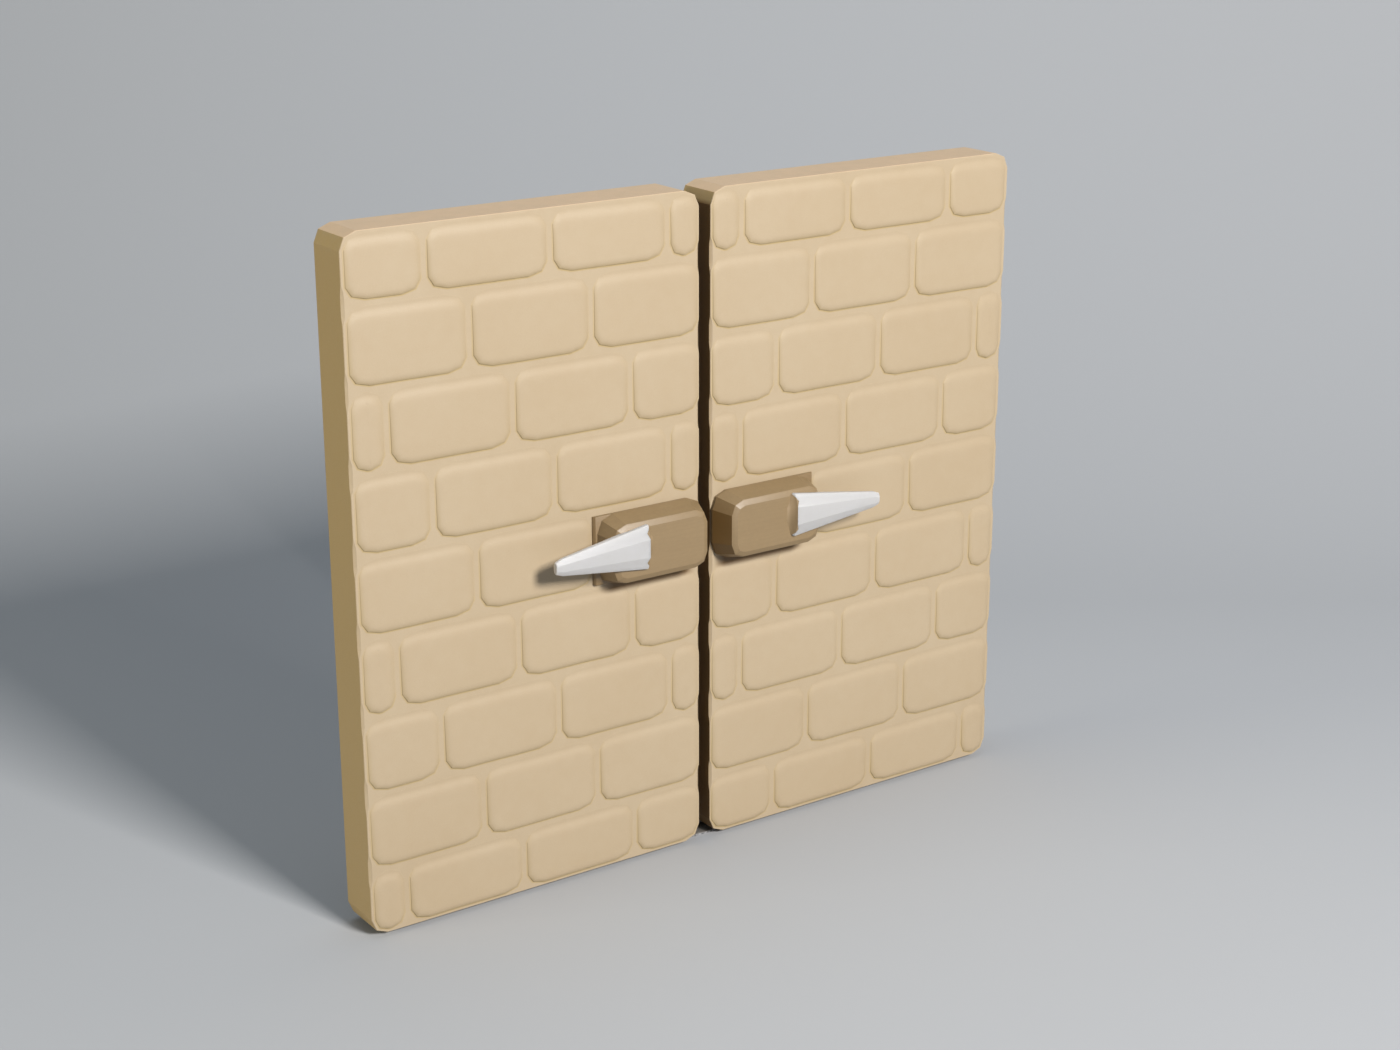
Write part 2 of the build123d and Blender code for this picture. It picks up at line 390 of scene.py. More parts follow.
def start_material(name):
    """Starts a node material; returns its tree, its shader and the object coordinates."""
    material = bpy.data.materials.new(name)
    material.use_nodes = True
    tree = material.node_tree
    tree.nodes.clear()
    shader = tree.nodes.new("ShaderNodeBsdfPrincipled")
    output = tree.nodes.new("ShaderNodeOutputMaterial")
    tree.links.new(shader.outputs[0], output.inputs[0])
    coordinates = tree.nodes.new("ShaderNodeTexCoord").outputs["Object"]
    return tree, shader, coordinates


def finish_material(tree, shader, base, grain, roughness, height, bump_distance, bump_strength):
    """Links the colour, the bump, and a roughness that goes between two values with the grain."""
    tree.links.new(base, shader.inputs["Base Color"])
    rough = map_range(tree, grain["Mask"], 0.0, 1.0, *roughness)
    tree.links.new(rough, shader.inputs["Roughness"])
    inputs = {"Height": height, "Distance": bump_distance, "Strength": bump_strength}
    tree.links.new(add_node(tree, "ShaderNodeBump", inputs).outputs[0], shader.inputs["Normal"])


# Where the painted shadow below the pulls begins and is full: distances from the gap's middle, and heights
# above the foot of the pulls
PULL_SHADOW_ENDS = ((0.035, 0.075), (0.385, 0.335))
PULL_SHADOW_EDGES = ((-0.036, -0.022), (0.020, 0.010))
PULL_SHADOW_DEPTH = (0.02, 0.01)  # how far behind the front face it ends and is full
TINT_SHARE = 0.35  # how far a block's own tint goes towards the dark tone
GRAIN_SHARE = 0.09
FOOT_SHADE_MIX = 0.95
PULL_SHADOW_SHARE = 0.86
STONE_DUST = (0.52, 0.365, 0.220)
STRIP_DUST = (0.30, 0.26, 0.20)
WORN_BONE = (0.475, 0.475, 0.470)


def pull_shadow_mask(tree, place):
    """Mask of the narrow band of the front face just below the pulls, where the pulls' shadow is painted.
    """
    split = add_node(tree, "ShaderNodeSeparateXYZ", {0: place}).outputs
    across = math_node(tree, "ABSOLUTE", split["X"])
    foot = PULL_LEVEL - PULL_FOOT[2]
    mask = map_range(tree, split["Y"], SLAB_FRONT + PULL_SHADOW_DEPTH[0], SLAB_FRONT + PULL_SHADOW_DEPTH[1])
    for none, full in PULL_SHADOW_ENDS:
        mask = times(tree, mask, map_range(tree, across, none, full))
    for none, full in PULL_SHADOW_EDGES:
        mask = times(tree, mask, map_range(tree, split["Z"], foot + none, foot + full))
    return mask


def stone_material(settings):
    """Fine warm stone: mottled, grained, with painted shade at the blocks' feet, on the leaves' ends and at
    the gap, and a painted shadow below the pulls.
    """
    tree, shader, place = start_material("Warm Stone")
    # The leaves' ends take a more saturated tone as painted shade.
    flank = attribute(tree, "flank")
    lights = mix_colour(tree, flank, colour(settings.light_tone), colour(settings.end_shade_tone))
    darks = mix_colour(tree, flank, colour(settings.dark_tone), colour(settings.end_shade_tone, 0.96))
    base = mottled(tree, place, lights, darks, patches=2.6, amount=0.5)
    grain = fine_grain(tree, place, 1.0 / settings.grain, pitting=0.35)
    tinted = times(tree, attribute(tree, "tint"), TINT_SHARE)
    base = mix_colour(tree, tinted, base, colour(settings.dark_tone))
    grained = times(tree, grain["Mask"], GRAIN_SHARE)
    # The grain takes a lighter share of the foot shade tone.
    base = mix_colour(tree, grained, base, colour(settings.foot_shade_tone, 0.6))
    # Painted shade along the feet of the blocks.
    foot_shaded = times(tree, attribute(tree, "foot"), FOOT_SHADE_MIX, clamp=True)
    base = mix_colour(tree, foot_shaded, base, colour(settings.foot_shade_tone))
    base = edge_worn(tree, place, base, colour(settings.light_tone, 1.12), breaks=45.0, amount=0.35)
    base = dusted(tree, place, base, STONE_DUST, amount=1.0)
    # Painted shadow on the stone just below the pulls.
    pull_shadowed = times(tree, pull_shadow_mask(tree, place), PULL_SHADOW_SHARE)
    base = mix_colour(tree, pull_shadowed, base, colour(settings.pull_shadow_tone))
    # Painted shade on the leaves' ends at the gap.
    base = mix_colour(tree, attribute(tree, "gap"), base, colour(settings.gap_shade_tone))
    roughness = (settings.roughness - 0.06, settings.roughness + 0.08)
    shader.inputs["Specular IOR Level"].default_value = 0.5
    finish_material(tree, shader, base, grain, roughness, grain["Height"], 0.0007, 0.45)


def wood_material(settings):
    """Oiled brown wood with rings that run along the block, painted light at the tusks' roots, and painted
    shade where the sides face the gap or down.
    """
    tree, shader, place = start_material("Pull Wood")
    stretched = scaled(tree, place, (1.2, 14.0, 14.0))
    rings = add_node(
        tree,
        "ShaderNodeTexWave",
        {"Vector": stretched, "Scale": 1.6, "Distortion": 5.5, "Detail": 3.0, "Detail Scale": 1.2},
        wave_type="BANDS",
        bands_direction="Z",
    ).outputs["Fac"]
    light = colour(settings.light_wood)
    dark = colour(settings.dark_wood)
    base = mottled(tree, stretched, light, dark, patches=1.6, amount=0.6)
    grain = fine_grain(tree, scaled(tree, place, (0.06, 1.0, 1.0)), 900.0, pitting=0.1)
    base = mix_colour(tree, times(tree, rings, 0.30), base, dark)
    base = mix_colour(tree, times(tree, grain["Mask"], 0.12), base, colour(settings.dark_wood, 0.7))
    base = edge_worn(tree, place, base, colour(settings.light_wood, 1.35), breaks=80.0, amount=0.15)
    # Painted light on the swelling round the tusks' roots.
    base = mix_colour(tree, attribute(tree, "root_painted_light"), base, colour(settings.root_light_tone))
    # Painted shade on the blocks' and pads' sides that face the gap or down.
    base = mix_colour(tree, attribute(tree, "gap"), base, colour(settings.block_shade_tone))
    height = math_node(tree, "ADD", grain["Height"], times(tree, rings, 0.4))
    shader.inputs["Specular IOR Level"].default_value = 0.75
    finish_material(tree, shader, base, grain, (0.44, 0.56), height, 0.00025, 0.5)


def bone_material(settings):
    """Polished bone with fine lines along the tusk and a few stains."""
    tree, shader, place = start_material("Tusk Bone")
    aged = colour(settings.aged_bone)
    base = mottled(tree, place, colour(settings.bone), aged, patches=9.0, amount=0.22)
    lines = fine_grain(tree, scaled(tree, place, (0.08, 1.0, 1.0)), 520.0, pitting=0.05)
    base = mix_colour(tree, times(tree, lines["Mask"], 0.14), base, aged)
    base = edge_worn(tree, place, base, colour(WORN_BONE), breaks=120.0, amount=0.1)
    shader.inputs["Subsurface Weight"].default_value = 0.7
    shader.inputs["Subsurface Scale"].default_value = 0.03
    shader.inputs["Subsurface Radius"].default_value = (1.0, 0.95, 0.9)
    finish_material(tree, shader, base, lines, (0.46, 0.58), lines["Height"], 0.0003, 0.45)


def turned_metal(name, tone, centre, roughness):
    """Metal with lathe rings about an upright axis through centre."""
    tree, shader, place = start_material(name)
    shader.inputs["Metallic"].default_value = 1.0
    shifted = add_node(tree, "ShaderNodeVectorMath", {0: place, 1: centre}, operation="SUBTRACT").outputs[0]
    rings = add_node(
        tree,
        "ShaderNodeTexWave",
        {"Vector": shifted, "Scale": 260.0, "Distortion": 0.6, "Detail": 2.0},
        wave_type="RINGS",
        rings_direction="Z",
    ).outputs["Fac"]
    grain = fine_grain(tree, place, 1400.0, pitting=0.1)
    base = mottled(tree, place, colour(tone), colour(tone, 0.62), patches=30.0, amount=0.5)
    base = edge_worn(tree, place, base, colour(tone, 1.4), breaks=200.0, amount=0.5)
    height = math_node(tree, "ADD", rings, times(tree, grain["Height"], 0.4))
    rough = (roughness - 0.07, roughness + 0.10)
    finish_material(tree, shader, base, grain, rough, height, 0.00008, 0.6)
    return bpy.data.materials[name]


def paint_material(settings):
    """Dark paint on the threshold strip, scuffed along its edges."""
    tree, shader, place = start_material("Threshold Paint")
    grain = fine_grain(tree, place, 700.0, pitting=0.2)
    dark = colour(settings.paint, 0.6)
    base = mottled(tree, place, colour(settings.paint), dark, patches=12.0, amount=0.8)
    base = edge_worn(tree, place, base, colour(settings.steel), breaks=90.0, amount=0.7)
    base = dusted(tree, place, base, STRIP_DUST, amount=0.35)
    finish_material(tree, shader, base, grain, (0.42, 0.60), grain["Height"], 0.0002, 0.5)


def object_from(name, vertices, faces, material, smooth_angle):
    """Makes a mesh object, shaded smooth up to an angle in degrees."""
    mesh = bpy.data.meshes.new(name)
    mesh.from_pydata(vertices, [], faces)
    mesh.validate()
    mesh.shade_smooth()
    mesh.set_sharp_from_angle(angle=math.radians(smooth_angle))
    mesh.materials.append(material)
    piece = bpy.data.objects.new(name, mesh)
    bpy.context.scene.collection.objects.link(piece)
    return piece


def add_attribute(piece, name, values, domain="POINT"):
    layer = piece.data.attributes.new(name, "FLOAT", domain)
    layer.data.foreach_set("value", values)


def apply_modifiers(piece):
    """Bakes a piece's modifiers into its mesh."""
    evaluated = piece.evaluated_get(bpy.context.evaluated_depsgraph_get())
    mesh = bpy.data.meshes.new_from_object(evaluated)
    piece.modifiers.clear()
    piece.data = mesh


def hand_over(piece, body, node):
    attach(piece, body)
    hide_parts(node)


def stepped_outline(low, high, corner):
    """Twelve corners (x, z), counter-clockwise, of a rectangle that turns each corner in two steps."""
    run = [min(corner[axis], 0.45 * (high[axis] - low[axis])) for axis in (0, 1)]
    middle = Vector(((low[0] + high[0]) / 2, (low[1] + high[1]) / 2))
    half = Vector(((high[0] - low[0]) / 2, (high[1] - low[1]) / 2))
    quarter = [
        (half.x, half.y - run[1]),
        (half.x - CORNER_STEP * run[0], half.y - CORNER_STEP * run[1]),
        (half.x - run[0], half.y),
    ]
    points = []
    for sign_x, sign_z in ((1, 1), (-1, 1), (-1, -1), (1, -1)):
        turn = quarter if sign_x == sign_z else quarter[::-1]
        points += [middle + Vector((sign_x * x, sign_z * z)) for x, z in turn]
    return points


def inset(points, distance):
    """The outline moved inwards by a distance, edge by edge."""
    moved = []
    for i, here in enumerate(points):
        before = (here - points[i - 1]).normalized()
        after = (points[(i + 1) % len(points)] - here).normalized()
        inward = Vector((-before.y - after.y, before.x + after.x))
        moved.append(here + inward * (distance / (1 + before.dot(after))))
    return moved


def spread(points, counts):
    """Points along the outline's edges, with a given number of steps for each edge."""
    spaced = []
    for i, here in enumerate(points):
        there = points[(i + 1) % len(points)]
        spaced += [here.lerp(there, step / counts[i]) for step in range(counts[i])]
    return spaced


def step_counts(points, pitch):
    lengths = [(points[(i + 1) % len(points)] - here).length for i, here in enumerate(points)]
    return [max(1, round(length / pitch)) for length in lengths]


def ring_faces(ring, count, flip):
    """Quads between a ring of vertices and the next one."""
    faces = []
    for i in range(count):
        j = (i + 1) % count
        quad = (ring * count + i, ring * count + j, (ring + 1) * count + j, (ring + 1) * count + i)
        faces.append(quad[::-1] if flip else quad)
    return faces


ON_FACE = 1e-5  # two levels nearer than this are the same


def merged_spans(spans):
    """Joins spans that overlap and returns what is left, in order."""
    merged = []
    for low, high in sorted(spans):
        if merged and low <= merged[-1][1] + ON_FACE:
            merged[-1][1] = max(merged[-1][1], high)
        else:
            merged.append([low, high])
    return merged


def block_boxes(node):
    """Low and high (x, z) of each raised block in a CAD node."""
    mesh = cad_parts[node].data
    faces = [[mesh.vertices[i].co for i in polygon.vertices] for polygon in mesh.polygons]
    boxes = []
    for low_z, high_z in merged_spans([(min(v.z for v in f), max(v.z for v in f)) for f in faces]):
        row = [f for f in faces if low_z - ON_FACE <= f[0].z <= high_z + ON_FACE]
        for low_x, high_x in merged_spans([(min(v.x for v in f), max(v.x for v in f)) for f in row]):
            boxes.append(((low_x, low_z), (high_x, high_z)))
    return boxes


NOISE_SHIFT = Vector((31.7, 0.0, 0.0))  # takes the second noise to another place than the first


def wander(point, amount, seed):
    """Small smooth shift of an outline's point."""
    place = Vector((7.0 * point.x, seed, 7.0 * point.y))
    return point + amount * Vector((noise.noise(place), noise.noise(place + NOISE_SHIFT)))


RISE_STEPS = (0.0, 0.07, 0.15, 0.24, 0.34, 0.46, 0.6, 0.78, 1.0)  # shares of the run from foot to crown
CROWN_STEPS = (0.88, 0.76, 0.6, 0.4, 0.2)  # sizes of the rings inside the cushion, as shares
SEAT = 0.0006  # how far a block's foot stands in the slab
THIN = 0.00006  # least height of a block's skin above the slab
FOOT_RUN = 0.0014
# Fillet round each foot that carries painted shade: distance outside it, height and share of painted shade
FILLET = ((0.0055, -SEAT, 0.0), (0.0050, 0.00008, 0.3), (0.0020, 0.0003, 0.9), (0.0, 0.0011, 1.0))
BLOCK_PITCH = 0.020  # distance between points along a block's outline
SLAB_PITCH = 0.014
WIDEST_RUN = 0.36  # most of a narrow block's width that its run takes
SHADED_RELIEF_SHARE = 0.85  # share of the relief below which a block's flank carries painted shade


def cushion_height(share, crisp, settings):
    """Height at a share of the run, as a share of the relief: the crisper the edge, the fuller it is."""
    foot = settings.foot_share * (0.4 + 1.1 * crisp)
    power = settings.cushion_power * (1 + 0.7 * crisp)
    return settings.crown_share * (foot + (1 - foot) * (1 - (1 - share) ** power))


def run_out(drop, height, settings):
    """Share of its relief that a block keeps at a drop below its upper edge.

    Half of it comes back softly over the top run, and the rest evenly over nine tenths of its height.
    """
    share = min(1.0, max(0.0, drop / settings.top_run))
    return 0.5 * share * share * (3 - 2 * share) + 0.5 * min(1.0, max(0.0, drop / (0.9 * height)))


def crispness(ring):
    """How crisp the edge is at each point of the outline.

    It is 1 where the outline faces down, less where it faces left, and 0 where it faces right or up.
    """
    crisp = []
    for i in range(len(ring)):
        along = (ring[(i + 1) % len(ring)] - ring[i - 1]).normalized()
        crisp.append(max(max(0.0, along.x) ** 0.7, -0.65 * along.y))
    return crisp


def cushion_rings(outline, counts, run, full, edges, settings):
    """Outline and heights of each ring of a raised block, from the fillet round its foot to its crown."""
    middle = sum(outline, Vector((0.0, 0.0))) / len(outline)
    rings = []
    for out, rise, _ in FILLET:
        heights = [rise * (0.2 + 0.8 * crisp) if rise > 0 else rise for crisp in edges]
        rings.append((spread(inset(outline, -out), counts), heights))
    for share in RISE_STEPS:
        ring = spread(inset(outline, FOOT_RUN + share * (run - FOOT_RUN)), counts)
        rings.append((ring, [full * cushion_height(share, crisp, settings) for crisp in edges]))
    crown = rings[-1][0]
    for share in CROWN_STEPS:
        ring = [middle.lerp(point, share) for point in crown]
        rise = (1 - settings.crown_share) * (1 - share ** 2)
        rings.append((ring, [full * (settings.crown_share + rise)] * len(edges)))
    return rings


def cushion(low, high, sign, settings):
    """Vertices, faces and painted foot shade of one raised block, with a soft crown."""
    outline = stepped_outline(low, high, BLOCK_CORNER)
    counts = step_counts(outline, BLOCK_PITCH)
    size = (high[0] - low[0], high[1] - low[1])
    run = min(settings.cushion_run, WIDEST_RUN * min(size))
    seed = 3.1 * low[0] + 5.7 * low[1] + sign
    full = RELIEF * (0.97 + 0.03 * noise.noise(Vector((9.0 * low[0], seed, 9.0 * low[1]))))
    face = SLAB_FRONT if sign < 0 else SLAB_BACK
    edges = crispness(spread(outline, counts))
    rings = cushion_rings(outline, counts, run, full, edges, settings)
    vertices = []
    foot = []
    for number, (ring, heights) in enumerate(rings):
        for point, height, crisp in zip(ring, heights, edges):
            moved = wander(point, settings.unevenness, seed)
            kept = run_out(high[1] - point.y, size[1], settings)
            lift = height if number == 0 else max(THIN, height * kept)
            vertices.append((moved.x, face + sign * lift, moved.y))
            on_fillet = number < len(FILLET)
            painted_shade = FILLET[number][2] if on_fillet else max(0.0, 1 - height / (SHADED_RELIEF_SHARE * full))
            # Painted shade in the creases at the feet, strongest where the edge faces down or left, away
            # from the key lamp.
            foot.append(kept * (0.12 + 0.88 * crisp) * painted_shade)
    count = len(edges)
    faces = []
    for ring in range(len(rings) - 1):
        faces += ring_faces(ring, count, sign > 0)
    last = [(len(rings) - 1) * count + i for i in range(count)]
    top = full * run_out(size[1] / 2, size[1], settings)
    vertices.append(((low[0] + high[0]) / 2, face + sign * top, (low[1] + high[1]) / 2))
    foot.append(0.0)
    for i in range(count):
        fan = (last[i], last[(i + 1) % count], len(vertices) - 1)
        faces.append(fan[::-1] if sign > 0 else fan)
    return vertices, faces, foot


def course_piece(side, node, sign, settings, material):
    """One node's raised blocks as one piece."""
    vertices = []
    faces = []
    foot = []
    tint = []
    for number, (low, high) in enumerate(block_boxes(node)):
        block_vertices, block_faces, block_foot = cushion(low, high, sign, settings)
        start = len(vertices)
        vertices += block_vertices
        faces += [tuple(start + i for i in face) for face in block_faces]
        foot += block_foot
        shade = 0.5 + 0.5 * noise.noise(Vector((11.0 * low[0], 3.0 * number, 11.0 * low[1])))
        tint += [shade] * len(block_vertices)
    piece = object_from(f"{node}_stone", vertices, faces, material, 24)
    # The foot attribute holds the painted shade along the blocks' feet.
    add_attribute(piece, "foot", foot)
    add_attribute(piece, "tint", tint)
    hand_over(piece, f"{side}_leaf", node)


def joint_levels():
    """Heights of the bed joints, from the front courses."""
    spans = [[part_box(f"right_front_course_{n}")[i][2] for i in (0, 1)] for n in range(1, 10)]
    spans.sort()
    return [(lower[1] + upper[0]) / 2 for lower, upper in zip(spans, spans[1:])]


NICK_REACH = 0.002  # how far from a leaf's end the nicks still are
NICK_RAMP = 0.4  # share of half a nick's height over which it deepens
NICK_DEPTH = 0.8  # depth of a nick, as a share of its width
END_ZONE = 0.3 * LEAF_CORNER  # distance from a leaf's end that counts as its end
STRAIGHT_END = 0.001  # the same, without the corners
SHOE_PLATE = 0.012
GAP_SHADE_LEVEL = 1.0  # level below which the gap's painted shade goes round the corners
# Rings from a leaf's face to its side: shares across and down the arris, further in, further down, share of
# the ends' and the gap's painted shade
SLAB_PROFILE = (
    (1.0, 0.0, 0.004, 0.0, 0.0),
    (1.0, 0.0, 0.0, 0.0, 0.0),
    (0.0, 1.0, 0.0, 0.0, 0.2),
    (0.0, 1.0, 0.0, 0.0012, 1.0),
)


def nick(point, low_x, high_x, levels, settings):
    """Width of the worn nick at a point of the outline, beside the bed joints only."""
    if min(point.x - low_x, high_x - point.x) > NICK_REACH:
        return 0.0
    nearest = min(levels, key=lambda level: abs(level - point.y))
    share = min(1.0, 2 * abs(nearest - point.y) / settings.nick_height)
    uneven = 0.75 + 0.25 * noise.noise(Vector((13.0 * low_x, 0.0, 5.0 * nearest)))
    return settings.nick_width * uneven * min(1.0, (1 - share) / NICK_RAMP)


def leaf_piece(side, settings, material):
    """The slab of one leaf, with eased arrises, nicks beside the bed joints and a pocket for its shoe."""
    low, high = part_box(f"{side}_leaf_slab")
    outline = stepped_outline((low[0], low[2]), (high[0], high[2]), (LEAF_CORNER, LEAF_CORNER))
    counts = step_counts(outline, SLAB_PITCH)
    edge = spread(outline, counts)
    levels = joint_levels()
    nicks = [nick(point, low[0], high[0], levels, settings) for point in edge]
    inward = [b - a for a, b in zip(edge, spread(inset(outline, 1.0), counts))]
    inner_end = low[0] if side == "right" else high[0]
    vertices = []
    flank = []
    gap = []
    for face, sign, profile in ((low[1], 1, SLAB_PROFILE), (high[1], -1, SLAB_PROFILE[::-1])):
        cuts = nicks if sign > 0 else [0.0] * len(edge)
        for across, down, further_in, further_down, tone in profile:
            for point, way, cut in zip(edge, inward, cuts):
                moved = point + way * (across * (settings.arris + cut) + further_in)
                depth = down * (settings.arris + NICK_DEPTH * cut) + further_down
                vertices.append((moved.x, face + sign * depth, moved.y))
                # The ends get painted shade, and the ends at the gap a darker painted shade.
                at_end = min(point.x - low[0], high[0] - point.x) < END_ZONE
                flank.append(tone if at_end else 0.0)
                at_gap = abs(point.x - inner_end) < (STRAIGHT_END if point.y > GAP_SHADE_LEVEL else END_ZONE)
                gap.append(tone if at_gap else 0.0)
    count = len(edge)
    last = 2 * len(SLAB_PROFILE) - 1
    faces = []
    for ring in range(last):
        faces += ring_faces(ring, count, True)
    faces.append(tuple(range(count)))
    faces.append(tuple(reversed(range(last * count, (last + 1) * count))))
    piece = object_from(f"{side}_leaf_stone", vertices, faces, material, 12)
    add_attribute(piece, "flank", flank)
    add_attribute(piece, "gap", gap)
    cut_pocket(piece, side)
    hand_over(piece, f"{side}_leaf", f"{side}_leaf_slab")


def cut_pocket(piece, side):
    """Cuts the pocket for the pivot shoe's plate into the underside of a leaf."""
    low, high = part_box(f"{side}_pivot_shoe")
    spans = ((low[0], high[0]), (low[1], high[1]), (low[2] - SHOE_PLATE, low[2] + SHOE_PLATE))
    cutter_mesh = bpy.data.meshes.new("pocket")
    shape = bmesh.new()
    bmesh.ops.create_cube(shape, size=1.0)
    for vertex in shape.verts:
        vertex.co = [span[int(here > 0)] for span, here in zip(spans, vertex.co)]
    shape.to_mesh(cutter_mesh)
    shape.free()
    cutter = bpy.data.objects.new("pocket", cutter_mesh)
    bpy.context.scene.collection.objects.link(cutter)
    carve = piece.modifiers.new("pocket", "BOOLEAN")
    carve.operation = "DIFFERENCE"
    carve.solver = "EXACT"
    carve.object = cutter
    apply_modifiers(piece)
    bpy.data.objects.remove(cutter)
    bpy.data.meshes.remove(cutter_mesh)


def eased_copy(node, name, material, body, slot, arris, segments=2, bevel_angle=40, smooth_angle=40):
    """A CAD node's own form with eased edges, standing for the node."""
    mesh = bpy.data.meshes.new(name)
    shape = bmesh.new()
    shape.from_mesh(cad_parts[node].data)
    bmesh.ops.remove_doubles(shape, verts=shape.verts, dist=1e-6)
    bmesh.ops.dissolve_limit(
        shape, angle_limit=math.radians(1.0), verts=shape.verts, edges=shape.edges, delimit=set()
    )
    shape.to_mesh(mesh)
    shape.free()
    mesh.materials.clear()
    mesh.materials.append(material)
    piece = bpy.data.objects.new(name, mesh)
    bpy.context.scene.collection.objects.link(piece)
    bevel = piece.modifiers.new("eased", "BEVEL")
    bevel.width = arris
    bevel.segments = segments
    bevel.limit_method = "ANGLE"
    bevel.angle_limit = math.radians(bevel_angle)
    apply_modifiers(piece)
    piece.data.shade_smooth()
    piece.data.set_sharp_from_angle(angle=math.radians(smooth_angle))
    hand_over(piece, body, node)
    return piece


PULL_LENGTH = 0.378
PULL_CORNER = (0.054, 0.056)
# Rings of the pull block: inset of its ends at the gap and away from it, half height, corner share, depth
PULL_FOOT = (0.0, 0.0, 0.110, 1.0, 0.0125)
PULL_SHOULDER = (0.0255, 0.014, 0.092, 0.8, 0.0805)
PULL_FACE = (0.0425, 0.031, 0.075, 0.5, 0.089)
ROUND_OVER = ((0.35, 0.46), (1.0, 1.0))  # shares from shoulder to face
SWELLING_RISE = 0.014  # how far the swelling's middle is above the block's
# Rings of the swelling round the tusk: distance from the gap's middle, depth, half height, half depth
SWELLING = (
    (0.246, 0.0775, 0.0575, 0.0105),
    (0.256, 0.0795, 0.0610, 0.0106),
    (0.262, 0.0820, 0.0634, 0.0120),
    (0.268, 0.0855, 0.0658, 0.0165),
    (0.275, 0.0890, 0.0686, 0.0246),
    (0.292, 0.0898, 0.0662, 0.0239),
)
HALF_FLAT = math.tan(math.pi / 8)
OCTAGON = ((1, HALF_FLAT), (HALF_FLAT, 1), (-HALF_FLAT, 1), (-1, HALF_FLAT))
OCTAGON += tuple((y, -z) for y, z in reversed(OCTAGON))
PROUD = 0.0005  # what stands this far out of the block's face belongs to the swelling
ROOT_LIGHT_REACH = 0.272  # distance from the gap's middle up to which the root's painted light reaches
ROOT_LIGHT_RISE = 0.035  # height above the pulls' middle from which the root's painted light begins


def ring_body(rings, name, material, smooth_angle, crisp_last=False):
    """Closed body through rings with the same number of corners, each a list of (x, y, z).

    With crisp_last, the edge round the last ring stays sharp.
    """
    count = len(rings[0])
    vertices = [point for ring in rings for point in ring]
    faces = []
    for ring in range(len(rings) - 1):
        faces += ring_faces(ring, count, False)
    faces.append(tuple(reversed(range(count))))
    last = (len(rings) - 1) * count
    faces.append(tuple(range(last, last + count)))
    piece = object_from(name, vertices, faces, material, smooth_angle)
    if crisp_last:
        for edge in piece.data.edges:
            if min(edge.vertices) >= last:
                edge.use_edge_sharp = True
    return piece


def block_rings():
    """Rings of the right-hand pull block: leaning sides, then a soft round over to its face."""
    mixes = [(PULL_FOOT, PULL_FOOT, 0.0, 0.0), (PULL_SHOULDER, PULL_SHOULDER, 0.0, 0.0)]
    for share, rise in ROUND_OVER:
        mixes.append((PULL_SHOULDER, PULL_FACE, share, rise))
    edge = SLAB[0][0]
    rings = []
    for first, second, across, forward in mixes:
        inner, outer, half, corner = [a + (b - a) * across for a, b in zip(first[:4], second[:4])]
        depth = first[4] + (second[4] - first[4]) * forward
        low = (edge + inner, PULL_LEVEL - half)
        high = (edge + PULL_LENGTH - outer, PULL_LEVEL + half)
        points = stepped_outline(low, high, [corner * run for run in PULL_CORNER])
        rings.append([(p.x, SLAB_FRONT - depth, p.y) for p in points])
    return rings


def swelling_rings():
    rings = []
    level = PULL_LEVEL + SWELLING_RISE
    for distance, depth, half_height, half_depth in SWELLING:
        front = SLAB_FRONT - depth
        rings.append([(distance, front - y * half_depth, level + z * half_height) for y, z in OCTAGON])
    return rings


def mirrored(rings):
    """The left-hand rings of right-hand ones, with their corners in the same turning order."""
    return [[(-x, y, z) for x, y, z in reversed(ring)] for ring in rings]


def block_shade(normal, towards):
    """Share of painted shade on a side of the pull block: most where it faces the gap, some where it faces
    down.
    """
    facing_gap = 2.5 * (towards * normal.x - 0.5) - 1.2 * max(0.0, normal.z)
    facing_down = 2.2 * (-normal.z - 0.3)
    return min(1.0, max(0.0, facing_gap, facing_down))


def pad_shade(normal, away):
    """Share of painted shade on a side of the pad: most where it faces down, less away from the gap and in
    front.
    """
    return min(1.0, max(0.0, 0.5 * away * normal.x, -2.5 * normal.z, -0.3 * normal.y))


def pull_block_piece(side, material):
    """The wooden block and its swelling, joined as one piece."""
    forms = []
    for label, rings, angle in (("block", block_rings(), 15), ("swelling", swelling_rings(), 40)):
        turned = mirrored(rings) if side == "left" else rings
        form = ring_body(turned, f"{side}_{label}_wood", material, angle, label == "block")
        shape = bmesh.new()
        shape.from_mesh(form.data)
        bmesh.ops.recalc_face_normals(shape, faces=shape.faces)
        shape.to_mesh(form.data)
        shape.free()
        forms.append(form)
    block = forms[0]
    with bpy.context.temp_override(active_object=block, selected_editable_objects=forms):
        bpy.ops.object.join()
    towards = 1 if side == "left" else -1
    # Painted shade on the block's sides, kept in the gap attribute.
    painted_shade = []
    for face in block.data.polygons:
        on_side = face.center.y > SLAB_FRONT - PULL_SHOULDER[4]
        painted_shade.append(block_shade(face.normal, towards) if on_side else 0.0)
    add_attribute(block, "gap", painted_shade, "FACE")
    # Painted light on the swelling's upper part round the tusk's root.
    root_painted_light = []
    for vertex in block.data.vertices:
        at_root = abs(vertex.co.x) < ROOT_LIGHT_REACH and vertex.co.y < SLAB_FRONT - PULL_FACE[4] - PROUD
        root_painted_light.append(float(at_root and vertex.co.z > PULL_LEVEL + ROOT_LIGHT_RISE))
    add_attribute(block, "root_painted_light", root_painted_light)
    hand_over(block, f"{side}_leaf", f"{side}_pull_block")


PAD_ARRIS = 0.001
TURNED_ARRIS = 0.0004
PLATE_ARRIS = 0.0006


